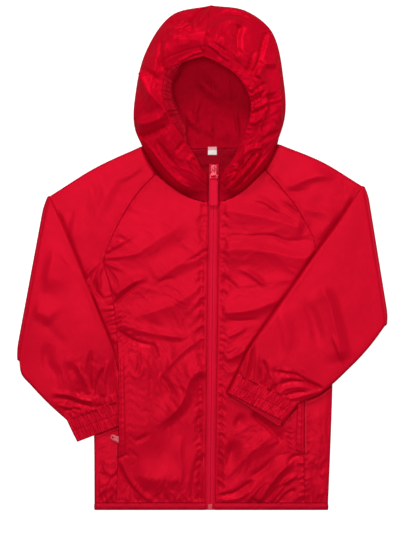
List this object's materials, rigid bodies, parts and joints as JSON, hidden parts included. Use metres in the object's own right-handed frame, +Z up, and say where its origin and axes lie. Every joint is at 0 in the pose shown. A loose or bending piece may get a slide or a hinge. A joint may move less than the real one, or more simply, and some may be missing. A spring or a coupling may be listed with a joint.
{
  "type": "windbreaker",
  "caption": "Child's red hooded windbreaker laid flat, zip closed, raglan sleeves folded over the front, with elastic cuffs, zipped side pockets and a bound hem.",
  "frame": {"origin": "on the surface the jacket lies on, under the middle of its outline", "axes": "+X to the wearer's left, +Y from the hem towards the hood, +Z up from the surface"},
  "size_m": [0.5005, 0.68, 0.0608],
  "materials": {
    "cloth": "smooth, slightly glossy woven nylon",
    "binding": "gathered elastic binding",
    "zip_tape": "ribbed woven tape",
    "zip_coil": "moulded nylon coil",
    "zip_slider": "gloss enamel",
    "pull_link": "gloss enamel",
    "pull_tab": "stitched tape",
    "label": "woven satin"
  },
  "bodies": {
    "garment": {"back_panel": "cloth", "front_right": "cloth", "front_left": "cloth", "side_panel_right": "cloth", "side_panel_left": "cloth", "sleeve_right": "cloth", "sleeve_left": "cloth", "cuff_right": "cloth", "cuff_left": "cloth", "hood_right": "cloth", "hood_left": "cloth", "hem_band": "binding", "pocket_welt_right": "cloth", "pocket_welt_left": "cloth", "pocket_zip_right": "zip_tape", "pocket_zip_left": "zip_tape", "pocket_slider_right": "zip_slider", "pocket_slider_left": "zip_slider", "zip_tape_right": "zip_tape", "zip_tape_left": "zip_tape", "zip_coil": "zip_coil", "zip_box": "zip_coil", "zip_slider": "zip_slider", "neck_label": "label"},
    "zip_pull": {"zip_pull_link": "pull_link", "zip_pull_tab": "pull_tab"},
    "pocket_pull": {"pocket_pull_right": "pull_link"}
  },
  "joints": [
    {"name": "zip_pull_swing", "type": "hinge", "parent": "garment", "child": "zip_pull", "pos_m": [0.01602, 0.12169, 0.00865], "axis": [-0.9999, 0.0111, 0], "range_deg": [0, 170]},
    {"name": "pocket_pull_swing", "type": "hinge", "parent": "garment", "child": "pocket_pull", "pos_m": [-0.1065, -0.248, 0.00635], "axis": [0.3907, 0.9205, 0], "range_deg": [0, 12]}
  ]
}
